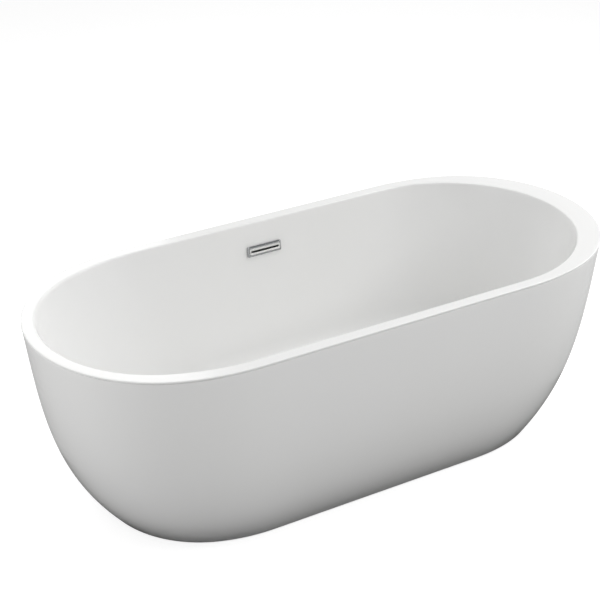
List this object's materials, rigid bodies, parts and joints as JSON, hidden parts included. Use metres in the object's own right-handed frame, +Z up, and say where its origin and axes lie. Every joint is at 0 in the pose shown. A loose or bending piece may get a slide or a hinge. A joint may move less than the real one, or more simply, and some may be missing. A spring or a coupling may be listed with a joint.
{
  "type": "freestanding bathtub",
  "caption": "Oval double-walled freestanding bathtub with a flared skirt, flat rim, slot overflow, press plug and levelling feet on a steel frame.",
  "frame": {"origin": "on the floor, under the middle of the rim's outline", "axes": "+X along the tub towards the end with the wide deck, +Y towards the long wall with the overflow, +Z up"},
  "size_m": [1.7996, 0.8, 0.6],
  "materials": {
    "acrylic": "polished",
    "adhesive": "matte",
    "board": "sealed",
    "timber": "sawn",
    "powder_coat": "satin",
    "zinc_steel": "zinc plated",
    "black_plastic": "moulded",
    "white_plastic": "moulded",
    "seal_rubber": "matte",
    "chrome": "polished",
    "brass": "turned",
    "clamp_steel": "rolled"
  },
  "bodies": {
    "tub": {"basin": "acrylic", "outer_shell": "acrylic", "rim_adhesive": "adhesive", "board_adhesive": "adhesive", "base_board": "board", "shell_block_1": "timber", "shell_block_2": "timber", "shell_block_3": "timber", "shell_block_4": "timber", "long_rail_1": "powder_coat", "long_rail_2": "powder_coat", "cross_rail_1": "powder_coat", "cross_rail_2": "powder_coat", "board_screws": "zinc_steel", "foot_weld_nuts": "zinc_steel", "foot_lock_nuts": "zinc_steel", "shell_bracket_1": "zinc_steel", "shell_bracket_2": "zinc_steel", "shell_bracket_3": "zinc_steel", "shell_bracket_4": "zinc_steel", "bracket_rail_screws": "zinc_steel", "bracket_block_screws": "zinc_steel", "overflow_nuts": "zinc_steel", "long_rail_caps": "black_plastic", "cross_rail_caps": "black_plastic", "waste_body": "white_plastic", "overflow_body": "white_plastic", "overflow_pipe": "white_plastic", "flange_seal": "seal_rubber", "under_seal": "seal_rubber", "overflow_front_seal": "seal_rubber", "overflow_rear_seal": "seal_rubber", "drain_flange": "chrome", "overflow_cover": "chrome", "plug_sleeve": "brass", "pipe_clamp_upper": "clamp_steel", "pipe_clamp_lower": "clamp_steel"},
    "plug": {"plug_cap": "chrome", "plug_seal": "seal_rubber", "plug_stem": "brass", "plug_spring": "zinc_steel"},
    "foot_1": {"foot_pad_1": "black_plastic"},
    "foot_1_screw": {"foot_stud_1": "zinc_steel"},
    "foot_2": {"foot_pad_2": "black_plastic"},
    "foot_2_screw": {"foot_stud_2": "zinc_steel"},
    "foot_3": {"foot_pad_3": "black_plastic"},
    "foot_3_screw": {"foot_stud_3": "zinc_steel"},
    "foot_4": {"foot_pad_4": "black_plastic"},
    "foot_4_screw": {"foot_stud_4": "zinc_steel"}
  },
  "joints": [
    {"name": "plug_travel", "type": "slide", "parent": "tub", "child": "plug", "axis": [0, 0, 1], "range_m": [0, 0.009], "deforming": ["plug_spring"]},
    {"name": "foot_1_height", "type": "slide", "parent": "tub", "child": "foot_1", "axis": [0, 0, -1], "range_m": [0, 0.02]},
    {"name": "foot_1_turn", "type": "hinge", "parent": "foot_1", "child": "foot_1_screw", "pos_m": [-0.43, -0.19, 0.05], "axis": [0, 0, -1], "range_deg": [0, 4115]},
    {"name": "foot_2_height", "type": "slide", "parent": "tub", "child": "foot_2", "axis": [0, 0, -1], "range_m": [0, 0.02]},
    {"name": "foot_2_turn", "type": "hinge", "parent": "foot_2", "child": "foot_2_screw", "pos_m": [-0.43, 0.19, 0.05], "axis": [0, 0, -1], "range_deg": [0, 4115]},
    {"name": "foot_3_height", "type": "slide", "parent": "tub", "child": "foot_3", "axis": [0, 0, -1], "range_m": [0, 0.02]},
    {"name": "foot_3_turn", "type": "hinge", "parent": "foot_3", "child": "foot_3_screw", "pos_m": [0.43, -0.19, 0.05], "axis": [0, 0, -1], "range_deg": [0, 4115]},
    {"name": "foot_4_height", "type": "slide", "parent": "tub", "child": "foot_4", "axis": [0, 0, -1], "range_m": [0, 0.02]},
    {"name": "foot_4_turn", "type": "hinge", "parent": "foot_4", "child": "foot_4_screw", "pos_m": [0.43, 0.19, 0.05], "axis": [0, 0, -1], "range_deg": [0, 4115]}
  ],
  "couplings": [
    {"joint": "foot_1_turn", "follows": "foot_1_height", "rad_per_m": 3590.4},
    {"joint": "foot_2_turn", "follows": "foot_2_height", "rad_per_m": 3590.4},
    {"joint": "foot_3_turn", "follows": "foot_3_height", "rad_per_m": 3590.4},
    {"joint": "foot_4_turn", "follows": "foot_4_height", "rad_per_m": 3590.4}
  ]
}
